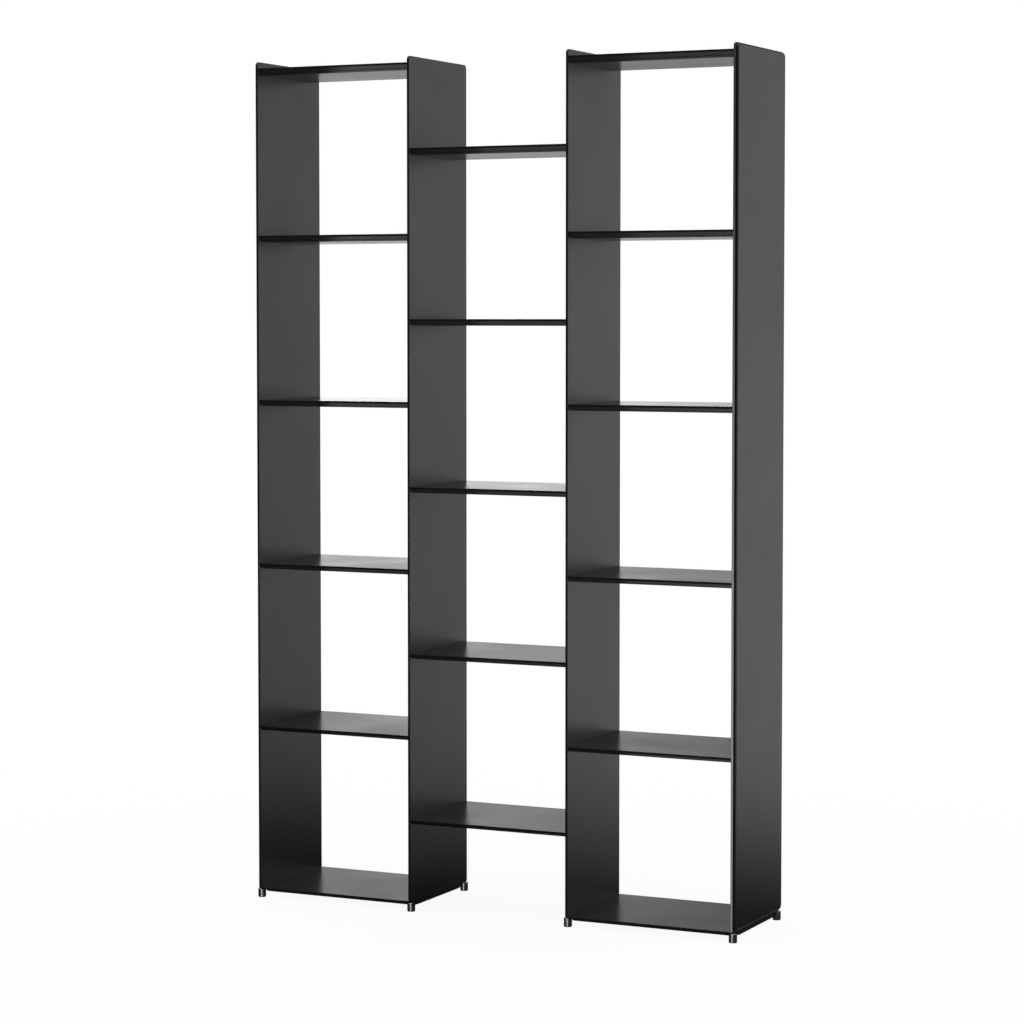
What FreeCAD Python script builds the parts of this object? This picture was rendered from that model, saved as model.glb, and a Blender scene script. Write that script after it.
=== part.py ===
"""Double-sided open shelving: four plate uprights, three bays of hollow shelves, eight screw feet.

The frame stands on the floor plane: X runs along the shelving, Y from front to back, Z up, and the
origin is the middle of the footprint. Both long sides are open and alike. The two side bays have a
shelf at the foot; the centre bay stands about half a level higher. Sizes are in millimetres.
"""
import FreeCAD, Part
import os

import Sketcher

# Driving sizes: alias, value and what it measures.
SIZES = [
    ("depth", 300, "front to back, the same for uprights and shelves"),
    ("bay_width", 401, "clear width between two uprights"),
    ("upright_thickness", 6, "aluminium plate of an upright"),
    ("cover_thickness", 6, "plate that closes the outer face of the right-hand upright"),
    ("cover_inset", 2.5, "how far the cover's outline stays inside the upright's"),
    ("cover_base", 26, "lower edge of the cover above the floor"),
    ("cover_corner_radius", 12, "rounded corners of the cover"),
    ("cover_edge_radius", 2, "rounded edge round the cover's outer face"),
    ("cover_screw_diameter", 4, "countersunk screws that hold the cover from inside"),
    ("cover_screw_head", 8, "head of those screws"),
    ("cover_screw_bite", 4, "how deep they reach into the cover"),
    ("cover_hole_spare", 0.5, "depth of a cover hole beyond its screw's tip"),
    ("cover_screw_distance", 180, "from the front row of those screws to the rear row"),
    ("top_margin", 15, "the uprights stand this much above the top side shelf"),
    ("corner_radius", 10, "rounded top corners of the uprights"),
    ("edge_radius", 0.8, "softened edges round the faces of an upright"),
    ("foot_clearance", 21, "edge of the corner notch above the floor"),
    ("notch_radius", 5, "outer corner of the notch"),
    ("notch_width", 28, "level part of the notch, from the plate's edge"),
    ("notch_root_radius", 4, "bend from the level part into the slope"),
    ("skirt_base", 11.5, "lower edge of the plate between the notches, above the floor"),
    ("skirt_run", 12, "length of the slope from the notch down to the lower edge"),
    ("skirt_radius", 14, "bend at the foot of that slope"),
    ("first_level", 25, "top of the lowest side shelf above the floor"),
    ("level_pitch", 393, "from one shelf top to the next"),
    ("top_pitch", 398, "from the last but one shelf top to the top shelf"),
    ("centre_rise", 194, "how much higher the centre bay's shelves hang"),
    ("shelf_thickness", 15.5, "overall height of the shelf section"),
    ("nose_height", 4.6, "upright band along each long edge of a shelf"),
    ("nose_radius", 1.2, "rounding of that band"),
    ("return_run", 34, "horizontal length of the slope under each long edge"),
    ("nose_core", 6, "solid metal behind the nose, before the first chamber"),
    ("bead_run", 21.5, "where the fine groove lies on the slope, from the shelf's edge"),
    ("bead_width", 2, "width of that groove"),
    ("bead_depth", 0.6, "depth of that groove"),
    ("wall", 1.8, "outer wall of the shelf extrusion"),
    ("web", 1.6, "webs between the chambers of the shelf extrusion"),
    ("end_gap", 0.5, "air between a shelf's end and the upright"),
    ("connector_width", 140, "connector bar, measured from front to back"),
    ("connector_height", 8, "height of that bar"),
    ("connector_reach", 22, "how far the bar stands out of the upright"),
    ("seat_depth", 3, "how deep a bar sits in its groove"),
    ("slide_fit", 0.05, "clearance on each side of a bar in its groove or chamber"),
    ("screw_diameter", 5, "set screw that locks a shelf to its bar"),
    ("screw_tip_gap", 2, "metal left above the tip of the set screw in its bar"),
    ("screw_inset", 14, "set screw from the face of the upright"),
    ("thread_fit", 0.05, "radial clearance round a screw or stud"),
    ("foot_diameter", 19, "levelling foot"),
    ("foot_inset", 10, "centre of a foot behind the plate's edge"),
    ("foot_relief_radius", 16.5, "round cut over each foot in the lowest side shelves"),
    ("foot_chamfer", 0.8, "chamfer at both ends of the foot"),
    ("foot_gap", 0.3, "air between a foot and the notch when it is screwed right in"),
    ("foot_stud_diameter", 6, "stud under the notch that carries the foot"),
    ("foot_stud_length", 13, "length of that stud"),
    ("foot_bore_depth", 14, "depth of the foot's threaded bore"),
    ("glide_diameter", 17.5, "plastic glide under the foot"),
    ("glide_thickness", 1, "how much of the glide shows below the foot"),
    ("glide_stem_diameter", 5, "stem on which the foot turns over its glide"),
    ("glide_stem_length", 3, "length of the stem"),
    ("glide_gap", 0.05, "axial and radial play between foot and glide"),
]

SIDE_LEVELS = 6
CENTRE_LEVELS = 5

# The bays from left to right: name, and (number of shelves, how much higher they hang).
BAYS = [
    ("left", (SIDE_LEVELS, "0")),
    ("centre", (CENTRE_LEVELS, "Sizes.centre_rise")),
    ("right", (SIDE_LEVELS, "0")),
]
UPRIGHT_COUNT = len(BAYS) + 1

# The cover's screws stand half-way between the shelves of the right bay.
COVER_ROWS = (CENTRE_LEVELS, "Sizes.centre_rise")

doc = FreeCAD.newDocument("shelving")
sheet = doc.addObject("Spreadsheet::Sheet", "Sizes")
for row, (alias, value, meaning) in enumerate(SIZES, start=1):
    sheet.set(f"A{row}", alias)
    sheet.set(f"B{row}", str(value))
    sheet.set(f"C{row}", meaning)
    sheet.setAlias(f"B{row}", alias)
doc.recompute()

# Derived sizes, written once as expressions of the sheet.
HALF_DEPTH = "Sizes.depth / 2"
BAY_PITCH = "(Sizes.bay_width + Sizes.upright_thickness)"
TOP_LEVEL = f"(Sizes.first_level + {SIDE_LEVELS - 2} * Sizes.level_pitch + Sizes.top_pitch)"
TOP_EDGE = f"({TOP_LEVEL} + Sizes.top_margin)"
SHELF_LENGTH = "(Sizes.bay_width - 2 * Sizes.end_gap)"
SLOPE = "((Sizes.shelf_thickness - Sizes.nose_height) / Sizes.return_run)"
SLOPED_WALL = f"(Sizes.wall * sqrt(1 + {SLOPE} ^ 2))"
COUNTERSINK_DEPTH = "((Sizes.cover_screw_head - Sizes.cover_screw_diameter) / 2)"
CHAMBER_HALF = "(Sizes.connector_width / 2 + Sizes.slide_fit)"
FOOT_TOP = "(Sizes.foot_clearance - Sizes.foot_gap)"
FOOT_BASE = "(Sizes.glide_thickness + Sizes.glide_gap)"


def value_of(expression):
    """Number that an expression of the sheet has now."""
    return float(sheet.evalExpression(expression))


def upright_left(number):
    """Expression for the left face of an upright, counted from 1 at the left."""
    steps_from_middle = number - (UPRIGHT_COUNT + 1) / 2
    return f"({steps_from_middle} * {BAY_PITCH} - Sizes.upright_thickness / 2)"


def level(index, count, rise="0"):
    """Expression for the top of shelf number index, from 0, in a bay of count shelves."""
    if index < count - 1:
        return f"(Sizes.first_level + {rise} + {index} * Sizes.level_pitch)"
    return f"(Sizes.first_level + {rise} + {count - 2} * Sizes.level_pitch + Sizes.top_pitch)"


def new_body(label):
    """PartDesign body that may hold several separate solids of one node."""
    body = doc.addObject("PartDesign::Body", label)
    body.Label = label
    body.AllowCompound = True
    return body


def place(body, x="0", y="0", z="0"):
    """Tie the body's position to the sheet."""
    for axis, expression in (("x", x), ("y", y), ("z", z)):
        body.setExpression(f"Placement.Base.{axis}", expression)


def new_sketch(body, name, plane_role, offset="0"):
    """Sketch on one of the body's own origin planes, moved along the plane's normal."""
    sketch = body.newObject("Sketcher::SketchObject", name)
    plane = next(item for item in body.Origin.OriginFeatures if item.Role == plane_role)
    sketch.AttachmentSupport = (plane, [""])
    sketch.MapMode = "FlatFace"
    if offset != "0":
        sketch.setExpression("AttachmentOffset.Base.z", offset)
    return sketch


def tie(sketch, kind, datum, *references):
    """Add a constraint whose value follows an expression of the sheet."""
    index = sketch.addConstraint(Sketcher.Constraint(kind, *references, value_of(datum)))
    sketch.setExpression(f"Constraints[{index}]", datum)


def tie_point(sketch, curve, point, across, up):
    """Fix one point of a curve by its distances from the sketch's origin."""
    for kind, datum, axis in (("DistanceX", across, -2), ("DistanceY", up, -1)):
        if datum == "0":
            sketch.addConstraint(Sketcher.Constraint("PointOnObject", curve, point, axis))
        else:
            tie(sketch, kind, datum, -1, 1, curve, point)


def polygon(sketch, corners):
    """Closed outline through corners given as pairs of expressions."""
    points = [FreeCAD.Vector(value_of(across), value_of(up), 0) for across, up in corners]
    first = sketch.GeometryCount
    for index, start in enumerate(points):
        end = points[(index + 1) % len(points)]
        sketch.addGeometry(Part.LineSegment(start, end), False)
    for index, (across, up) in enumerate(corners):
        following = first + (index + 1) % len(corners)
        sketch.addConstraint(Sketcher.Constraint("Coincident", first + index, 2, following, 1))
        tie_point(sketch, first + index, 1, across, up)


def rectangle(sketch, left, right, low, high):
    """Rectangle between four expressions."""
    polygon(sketch, [(left, low), (right, low), (right, high), (left, high)])


def circle(sketch, across, up, diameter):
    """Circle given by the expressions of its centre and diameter."""
    centre = FreeCAD.Vector(value_of(across), value_of(up), 0)
    axis = FreeCAD.Vector(0, 0, 1)
    index = sketch.addGeometry(Part.Circle(centre, axis, value_of(diameter) / 2), False)
    tie_point(sketch, index, 3, across, up)
    tie(sketch, "Diameter", diameter, index)


def pad(body, sketch, length, reverse=False):
    """Pad of a length that follows the sheet."""
    feature = body.newObject("PartDesign::Pad", "Pad")
    feature.Profile = sketch
    feature.setExpression("Length", length)
    feature.Reversed = reverse
    doc.recompute()
    return feature


def pocket(body, sketch, length, reverse=False):
    """Pocket that must take metal away."""
    before = body.Shape.Volume
    feature = body.newObject("PartDesign::Pocket", "Pocket")
    feature.Profile = sketch
    feature.setExpression("Length", length)
    feature.Reversed = reverse
    doc.recompute()
    if body.Shape.Volume >= before:
        raise RuntimeError(f"{body.Label}: a pocket cuts nothing")
    return feature


def repeat_upwards(body, feature, count):
    """Repeat a feature at the level pitch, upwards."""
    before = abs(body.Shape.Volume)
    pattern = body.newObject("PartDesign::LinearPattern", "Levels")
    pattern.Originals = [feature]
    axis = next(item for item in body.Origin.OriginFeatures if item.Role == "Z_Axis")
    pattern.Direction = (axis, [""])
    pattern.setExpression("Length", f"{count - 1} * Sizes.level_pitch")
    pattern.Occurrences = count
    body.Tip = pattern
    doc.recompute()
    if abs(body.Shape.Volume - before) < 1:
        raise RuntimeError(f"{body.Label}: the pattern changes nothing")
    return pattern


def edges_through(feature, corners):
    """Names of the edges along X that stand on the given corners of the section."""
    names = []
    for number, edge in enumerate(feature.Shape.Edges, start=1):
        start, end = edge.Vertexes[0].Point, edge.Vertexes[-1].Point
        if abs(start.x - end.x) < 1e-6:
            continue
        for across, up in corners:
            target = (value_of(across), value_of(up))
            if all(abs(p.y - target[0]) + abs(p.z - target[1]) < 1e-4 for p in (start, end)):
                names.append(f"Edge{number}")
    return names


def fillet(body, base, names, radius):
    """Fillet on named edges or faces."""
    feature = body.newObject("PartDesign::Fillet", "Fillet")
    feature.Base = (base, names)
    feature.setExpression("Radius", radius)
    doc.recompute()
    return feature


def side_faces(feature):
    """Names of the two large faces of a plate that stands across X."""
    order = sorted(range(len(feature.Shape.Faces)), key=lambda item: -feature.Shape.Faces[item].Area)
    return [f"Face{item + 1}" for item in order[:2]]


def mirrored(corners):
    """Front half of a section, from the middle of the top forwards, completed by its mirror image."""
    back = [(f"(0 - {across})", up) for across, up in reversed(corners)]
    return corners + back


def on_every_level(body, levels, draw, make):
    """Make a feature at every shelf level: a row at the level pitch, and one at the top level.

    levels is (number of shelves, rise of the bay); draw gives the sketch for a name and the height
    of a shelf top; make turns that sketch into the feature.
    """
    count, rise = levels
    lowest = make(draw("low", level(0, count, rise)))
    repeat_upwards(body, lowest, count - 1)
    make(draw("top", level(count - 1, count, rise)))


def cut_grooves(body, name, levels, face_offset, into_plate):
    """Grooves for the connector bars in one face of an upright.

    face_offset is the face, along X; into_plate is True where the metal lies on its +X side.
    """

    def draw(row, top):
        sketch = new_sketch(body, f"{name}_{row}", "YZ_Plane", face_offset)
        roof = f"({top} - Sizes.wall + Sizes.slide_fit)"
        floor = f"({top} - Sizes.wall - Sizes.connector_height - Sizes.slide_fit)"
        rectangle(sketch, f"(0 - {CHAMBER_HALF})", CHAMBER_HALF, floor, roof)
        return sketch

    on_every_level(body, levels, draw,
                   lambda sketch: pocket(body, sketch, "Sizes.seat_depth", reverse=into_plate))


def draw_cover_screws(body, name, diameter):
    """Sketcher for one row of cover screws: a circle near the front and one near the rear."""

    def draw(row, top):
        sketch = new_sketch(body, f"{name}_{row}", "YZ_Plane")
        circle(sketch, "(0 - Sizes.cover_screw_distance / 2)", top, diameter)
        circle(sketch, "(Sizes.cover_screw_distance / 2)", top, diameter)
        return sketch

    return draw


def hole_rims(feature, diameter):
    """Names of the circular edges of a diameter that lie in the inner face, at X = 0."""
    names = []
    for number, edge in enumerate(feature.Shape.Edges, start=1):
        if not isinstance(edge.Curve, Part.Circle) or abs(edge.Curve.Center.x) > 1e-6:
            continue
        if abs(edge.Curve.Radius * 2 - diameter) < 1e-6:
            names.append(f"Edge{number}")
    return names


def cut_countersinks(body):
    """Through holes for the cover's screws, countersunk in the inner face of the last upright."""
    bore = "(Sizes.cover_screw_diameter + 2 * Sizes.thread_fit)"
    draw = draw_cover_screws(body, "cover_screw_holes", bore)
    on_every_level(body, COVER_ROWS, draw,
                   lambda sketch: pocket(body, sketch, "Sizes.upright_thickness", reverse=True))
    drilled = body.Tip
    chamfer = body.newObject("PartDesign::Chamfer", "Countersinks")
    chamfer.Base = (drilled, hole_rims(drilled, value_of(bore)))
    chamfer.setExpression("Size", COUNTERSINK_DEPTH)
    doc.recompute()


def make_upright(number):
    """Plate with rounded top corners and a notch over each foot, grooved for its connector bars."""
    body = new_body(f"upright_{number}")
    half = HALF_DEPTH
    notch_inner = f"({half} - Sizes.notch_width)"
    skirt_end = f"({half} - Sizes.notch_width - Sizes.skirt_run)"
    front = [
        (f"(0 - {half})", TOP_EDGE),
        (f"(0 - {half})", "Sizes.foot_clearance"),
        (f"(0 - {notch_inner})", "Sizes.foot_clearance"),
        (f"(0 - {skirt_end})", "Sizes.skirt_base"),
    ]
    top_front, corner_front, notch_front, skirt_front = front
    outline = mirrored(front)
    skirt_rear, notch_rear, corner_rear, top_rear = outline[len(front):]
    sketch = new_sketch(body, "outline", "YZ_Plane")
    polygon(sketch, outline)
    plate = pad(body, sketch, "Sizes.upright_thickness")
    for corners, radius in (
        ((top_front, top_rear), "Sizes.corner_radius"),
        ((corner_front, corner_rear), "Sizes.notch_radius"),
        ((notch_front, notch_rear), "Sizes.notch_root_radius"),
        ((skirt_front, skirt_rear), "Sizes.skirt_radius"),
    ):
        plate = fillet(body, plate, edges_through(plate, corners), radius)
    fillet(body, plate, side_faces(plate), "Sizes.edge_radius")

    if number > 1:
        cut_grooves(body, "left_grooves", BAYS[number - 2][1], "0", into_plate=True)
    if number < UPRIGHT_COUNT:
        levels = BAYS[number - 1][1]
        cut_grooves(body, "right_grooves", levels, "Sizes.upright_thickness", into_plate=False)
    else:
        cut_countersinks(body)
    place(body, x=upright_left(number))
    return body


def make_cover():
    """Plain plate with rounded corners, screwed to the outer face of the last upright from inside."""
    body = new_body("right_end_cover")
    half = f"({HALF_DEPTH} - Sizes.cover_inset)"
    top = f"({TOP_EDGE} - Sizes.cover_inset)"
    sketch = new_sketch(body, "outline", "YZ_Plane")
    rectangle(sketch, f"(0 - {half})", half, "Sizes.cover_base", top)
    plate = pad(body, sketch, "Sizes.cover_thickness")
    corners = [(f"(0 - {half})", top), (half, top)]
    corners += [(f"(0 - {half})", "Sizes.cover_base"), (half, "Sizes.cover_base")]
    plate = fillet(body, plate, edges_through(plate, corners), "Sizes.cover_corner_radius")
    outer_face = max(side_faces(plate), key=lambda name: plate.Shape.getElement(name).CenterOfMass.x)
    fillet(body, plate, [outer_face], "Sizes.cover_edge_radius")
    bore = "(Sizes.cover_screw_diameter + 2 * Sizes.thread_fit)"
    draw = draw_cover_screws(body, "screw_holes", bore)
    depth = "(Sizes.cover_screw_bite + Sizes.cover_hole_spare)"
    on_every_level(body, COVER_ROWS, draw,
                   lambda sketch: pocket(body, sketch, depth, reverse=True))
    place(body, x=f"({upright_left(UPRIGHT_COUNT)} + Sizes.upright_thickness)")
    return body


def make_cover_screws():
    """Countersunk screws, flush with the inner face of the last upright."""
    body = new_body("cover_screws")
    head = draw_cover_screws(body, "heads", "Sizes.cover_screw_head")
    shank = draw_cover_screws(body, "shanks", "Sizes.cover_screw_diameter")
    length = "(Sizes.upright_thickness + Sizes.cover_screw_bite)"
    on_every_level(body, COVER_ROWS, shank, lambda sketch: pad(body, sketch, length))

    def make_head(sketch):
        feature = pad(body, sketch, COUNTERSINK_DEPTH)
        feature.TaperAngle = -45
        doc.recompute()
        return feature

    on_every_level(body, COVER_ROWS, head, make_head)
    place(body, x=upright_left(UPRIGHT_COUNT))
    return body


def add_bars(body, name, levels, start, reverse):
    """Connector bars of one bay on one side of an upright."""

    def draw(row, top):
        sketch = new_sketch(body, f"{name}_{row}", "YZ_Plane", start)
        half = "(Sizes.connector_width / 2)"
        roof = f"({top} - Sizes.wall)"
        rectangle(sketch, f"(0 - {half})", half, f"({roof} - Sizes.connector_height)", roof)
        return sketch

    length = "(Sizes.seat_depth + Sizes.connector_reach)"
    on_every_level(body, levels, draw, lambda sketch: pad(body, sketch, length, reverse))


def make_connectors(number):
    """All connector bars of one upright, each drilled for its set screw."""
    body = new_body(f"upright_{number}_connectors")
    holes = []
    if number > 1:
        add_bars(body, "left_bars", BAYS[number - 2][1], "Sizes.seat_depth", reverse=True)
        holes.append("(0 - Sizes.screw_inset)")
    if number < UPRIGHT_COUNT:
        start = "(Sizes.upright_thickness - Sizes.seat_depth)"
        add_bars(body, "right_bars", BAYS[number - 1][1], start, reverse=False)
        holes.append("(Sizes.upright_thickness + Sizes.screw_inset)")
    sketch = new_sketch(body, "screw_holes", "XY_Plane", TOP_EDGE)
    for across in holes:
        circle(sketch, across, "0", "(Sizes.screw_diameter + 2 * Sizes.thread_fit)")
    pocket(body, sketch, TOP_EDGE)
    place(body, x=upright_left(number))
    return body


def shelf_outline():
    """Outer section of a shelf: flat top, narrow nose, sloped return with a fine groove, flat base."""

    def on_slope(run, inwards="0"):
        """Point of the sloped return, run behind the front edge and raised into the metal."""
        return (f"({run} - {HALF_DEPTH})", f"({inwards} - Sizes.nose_height - {SLOPE} * ({run}))")

    return mirrored([
        (f"(0 - {HALF_DEPTH})", "0"),
        (f"(0 - {HALF_DEPTH})", "(0 - Sizes.nose_height)"),
        on_slope("(Sizes.bead_run - Sizes.bead_width / 2)"),
        on_slope("Sizes.bead_run", "Sizes.bead_depth"),
        on_slope("(Sizes.bead_run + Sizes.bead_width / 2)"),
        on_slope("Sizes.return_run"),
    ])


def shelf_chambers():
    """The five chambers of the extrusion, each as a list of corners."""
    roof = "(0 - Sizes.wall)"
    floor = "(Sizes.wall - Sizes.shelf_thickness)"

    def above_slope(run):
        """Inner face of the sloped wall, run behind the front edge."""
        return f"({SLOPED_WALL} - Sizes.nose_height - {SLOPE} * ({run}))"

    nose_start = "Sizes.nose_core"
    nose_end = "(Sizes.return_run - Sizes.web / 2)"
    side_start = f"(Sizes.return_run + Sizes.web / 2 - {HALF_DEPTH})"
    side_end = f"(0 - {CHAMBER_HALF} - Sizes.web)"
    nose = [
        (f"({nose_start} - {HALF_DEPTH})", roof),
        (f"({nose_end} - {HALF_DEPTH})", roof),
        (f"({nose_end} - {HALF_DEPTH})", above_slope(nose_end)),
        (f"({nose_start} - {HALF_DEPTH})", above_slope(nose_start)),
    ]
    side = [(side_start, roof), (side_end, roof), (side_end, floor), (side_start, floor)]
    centre = [
        (f"(0 - {CHAMBER_HALF})", roof),
        (CHAMBER_HALF, roof),
        (CHAMBER_HALF, floor),
        (f"(0 - {CHAMBER_HALF})", floor),
    ]
    other_side = [[(f"(0 - {across})", up) for across, up in chamber] for chamber in (nose, side)]
    return [nose, side, centre] + other_side


def cut_foot_reliefs(body):
    """Round cuts in the underside of a lowest shelf, concentric with the feet at its corners."""
    sketch = new_sketch(body, "foot_reliefs", "XY_Plane", "(Sizes.foot_clearance - Sizes.first_level)")
    beyond_end = "(Sizes.end_gap + Sizes.upright_thickness / 2)"
    reach = f"({HALF_DEPTH} - Sizes.foot_inset)"
    for across in (f"(0 - {beyond_end})", f"({SHELF_LENGTH} + {beyond_end})"):
        for along in (f"(0 - {reach})", reach):
            circle(sketch, across, along, "(2 * Sizes.foot_relief_radius)")
    pocket(body, sketch, "Sizes.shelf_thickness")


def make_shelf(label, bay, top, over_feet):
    """Hollow shelf extrusion between two uprights, with a set-screw hole under each end."""
    body = new_body(label)
    sketch = new_sketch(body, "section", "YZ_Plane")
    outline = shelf_outline()
    polygon(sketch, outline)
    for chamber in shelf_chambers():
        polygon(sketch, chamber)
    extrusion = pad(body, sketch, SHELF_LENGTH)
    last = len(outline) - 1
    noses = [outline[0], outline[1], outline[last - 1], outline[last]]
    fillet(body, extrusion, edges_through(extrusion, noses), "Sizes.nose_radius")

    holes = new_sketch(body, "screw_holes", "XY_Plane", "(0 - Sizes.shelf_thickness)")
    bore = "(Sizes.screw_diameter + 2 * Sizes.thread_fit)"
    near_end = "(Sizes.screw_inset - Sizes.end_gap)"
    circle(holes, near_end, "0", bore)
    circle(holes, f"({SHELF_LENGTH} - {near_end})", "0", bore)
    pocket(body, holes, "Sizes.wall", reverse=True)
    if over_feet:
        cut_foot_reliefs(body)
    start = f"({upright_left(bay)} + Sizes.upright_thickness + Sizes.end_gap)"
    place(body, x=start, z=top)
    return body


def make_lock_screws(label, bay, levels):
    """Set screws of one bay, flush with the underside of each shelf end."""
    body = new_body(label)

    def draw(row, top):
        sketch = new_sketch(body, f"screws_{row}", "XY_Plane", f"({top} - Sizes.shelf_thickness)")
        circle(sketch, "Sizes.screw_inset", "0", "Sizes.screw_diameter")
        circle(sketch, "(Sizes.bay_width - Sizes.screw_inset)", "0", "Sizes.screw_diameter")
        return sketch

    length = "(Sizes.shelf_thickness - Sizes.wall - Sizes.screw_tip_gap)"
    on_every_level(body, levels, draw, lambda sketch: pad(body, sketch, length))
    place(body, x=f"({upright_left(bay)} + Sizes.upright_thickness)")
    return body


def foot_centre(number, side):
    """Expressions for the centre of a foot; side is front or rear."""
    across = f"({upright_left(number)} + Sizes.upright_thickness / 2)"
    reach = f"({HALF_DEPTH} - Sizes.foot_inset)"
    return across, f"(0 - {reach})" if side == "front" else reach


def make_foot_studs():
    """Threaded studs welded under the notches, one for each foot."""
    body = new_body("foot_studs")
    sketch = new_sketch(body, "studs", "XY_Plane", "Sizes.foot_clearance")
    for number in range(1, UPRIGHT_COUNT + 1):
        for side in ("front", "rear"):
            across, along = foot_centre(number, side)
            circle(sketch, across, along, "Sizes.foot_stud_diameter")
    pad(body, sketch, "Sizes.foot_stud_length", reverse=True)
    return body


def revolve(body, corners):
    """Turned piece whose half section is given by corners (radius, height)."""
    sketch = new_sketch(body, "half_section", "XZ_Plane")
    polygon(sketch, corners)
    feature = body.newObject("PartDesign::Revolution", "Turned")
    feature.Profile = sketch
    feature.ReferenceAxis = (sketch, ["V_Axis"])
    feature.Angle = 360
    doc.recompute()


def make_foot(number, side):
    """Round foot, bored from above for its stud and from below for the stem of its glide."""
    body = new_body(f"foot_{number}_{side}")
    radius = "(Sizes.foot_diameter / 2)"
    socket = "(Sizes.glide_stem_diameter / 2 + Sizes.glide_gap)"
    bore = "(Sizes.foot_stud_diameter / 2 + Sizes.thread_fit)"
    socket_top = f"({FOOT_BASE} + Sizes.glide_stem_length)"
    bore_base = f"({FOOT_TOP} - Sizes.foot_bore_depth)"
    revolve(body, [
        (socket, FOOT_BASE),
        (f"({radius} - Sizes.foot_chamfer)", FOOT_BASE),
        (radius, f"({FOOT_BASE} + Sizes.foot_chamfer)"),
        (radius, f"({FOOT_TOP} - Sizes.foot_chamfer)"),
        (f"({radius} - Sizes.foot_chamfer)", FOOT_TOP),
        (bore, FOOT_TOP),
        (bore, bore_base),
        ("0", bore_base),
        ("0", socket_top),
        (socket, socket_top),
    ])
    across, along = foot_centre(number, side)
    place(body, x=across, y=along)
    return body


def make_glide(number, side):
    """Plastic glide that stays still on the floor while the foot turns on its stem."""
    body = new_body(f"glide_{number}_{side}")
    stem = "(Sizes.glide_stem_diameter / 2)"
    stem_top = "(Sizes.glide_thickness + Sizes.glide_stem_length)"
    revolve(body, [
        ("0", "0"),
        ("(Sizes.glide_diameter / 2)", "0"),
        ("(Sizes.glide_diameter / 2)", "Sizes.glide_thickness"),
        (stem, "Sizes.glide_thickness"),
        (stem, stem_top),
        ("0", stem_top),
    ])
    across, along = foot_centre(number, side)
    place(body, x=across, y=along)
    return body


def make_everything():
    """All sub-parts, in the order in which the shelving goes together."""
    parts = []
    for number in range(1, UPRIGHT_COUNT + 1):
        parts.append(make_upright(number))
        parts.append(make_connectors(number))
    for bay, (name, levels) in enumerate(BAYS, start=1):
        count, rise = levels
        for index in range(count):
            over_feet = index == 0 and name != "centre"
            top = level(index, count, rise)
            parts.append(make_shelf(f"{name}_shelf_{index + 1}", bay, top, over_feet))
        parts.append(make_lock_screws(f"{name}_lock_screws", bay, levels))
    parts.append(make_cover())
    parts.append(make_cover_screws())
    parts.append(make_foot_studs())
    for number in range(1, UPRIGHT_COUNT + 1):
        for side in ("front", "rear"):
            parts.append(make_foot(number, side))
            parts.append(make_glide(number, side))
    return parts


def check(parts):
    """Stop before anything is written if a feature failed or a shape is unsound."""
    for item in doc.Objects:
        if {"Invalid", "Error"} & set(item.State):
            raise RuntimeError(f"{item.Label}: {item.State}")
    for body in parts:
        if body.Shape.isNull() or not body.Shape.isValid() or not body.Shape.Solids:
            raise RuntimeError(f"{body.Label}: unsound shape")


sub_parts = make_everything()
doc.recompute()
check(sub_parts)
os.makedirs("parts", exist_ok=True)
for sub_part in sub_parts:
    sub_part.Shape.exportStep(f"parts/{sub_part.Label}.step")
    print(f"{sub_part.Label}: {len(sub_part.Shape.Solids)} solids, {sub_part.Shape.Volume:.0f} mm3")
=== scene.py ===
"""Finishes, screw details, studio and camera for the open double-sided shelving.

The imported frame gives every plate, shelf and foot at its real place. This script gives each of them
its finish, replaces the plain screws and studs by detailed ones, and sets up the studio.
"""
import logging
import math
from dataclasses import dataclass
from enum import Enum
from typing import Iterable

import bpy
import numpy as np
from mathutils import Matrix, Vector


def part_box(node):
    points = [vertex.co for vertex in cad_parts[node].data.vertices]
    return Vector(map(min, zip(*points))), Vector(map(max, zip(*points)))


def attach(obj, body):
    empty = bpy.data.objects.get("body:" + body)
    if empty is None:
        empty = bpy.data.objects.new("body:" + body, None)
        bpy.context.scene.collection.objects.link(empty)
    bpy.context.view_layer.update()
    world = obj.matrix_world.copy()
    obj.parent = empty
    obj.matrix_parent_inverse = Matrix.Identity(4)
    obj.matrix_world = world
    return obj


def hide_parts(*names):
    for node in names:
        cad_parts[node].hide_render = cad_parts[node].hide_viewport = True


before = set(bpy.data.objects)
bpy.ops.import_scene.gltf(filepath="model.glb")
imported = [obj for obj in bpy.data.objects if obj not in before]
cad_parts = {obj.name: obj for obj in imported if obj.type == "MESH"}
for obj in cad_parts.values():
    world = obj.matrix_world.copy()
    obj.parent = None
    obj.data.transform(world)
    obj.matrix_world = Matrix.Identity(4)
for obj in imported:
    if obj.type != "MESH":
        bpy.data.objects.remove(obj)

Triple = tuple[float, float, float]
Socket = bpy.types.NodeSocket
Material = bpy.types.Material

LOG = logging.getLogger("shelving")
MM = 0.001
UPRIGHT_COUNT = 4

# Nearly all values of a fractal noise lie between these two.
NOISE_LOW, NOISE_HIGH = 0.3, 0.7

# A face begins to look straight along an axis at the first share of its normal, and is taken to do
# so from the second on.
STRAIGHT_START, STRAIGHT_FULL = 0.9, 0.99

# Faces that meet at more than these angles, in degrees, keep a sharp edge.
SCREW_SHARP_ANGLE = 35.0
STUD_SHARP_ANGLE = 40.0


class Bay(Enum):
    """The three bays, from left to right, and how many shelves each holds."""

    LEFT = ("left", 6)
    CENTRE = ("centre", 5)
    RIGHT = ("right", 6)

    def shelf_nodes(self) -> list[str]:
        """Names of the bay's shelves, from the lowest up."""
        name, count = self.value
        return [f"{name}_shelf_{number}" for number in range(1, count + 1)]


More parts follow.
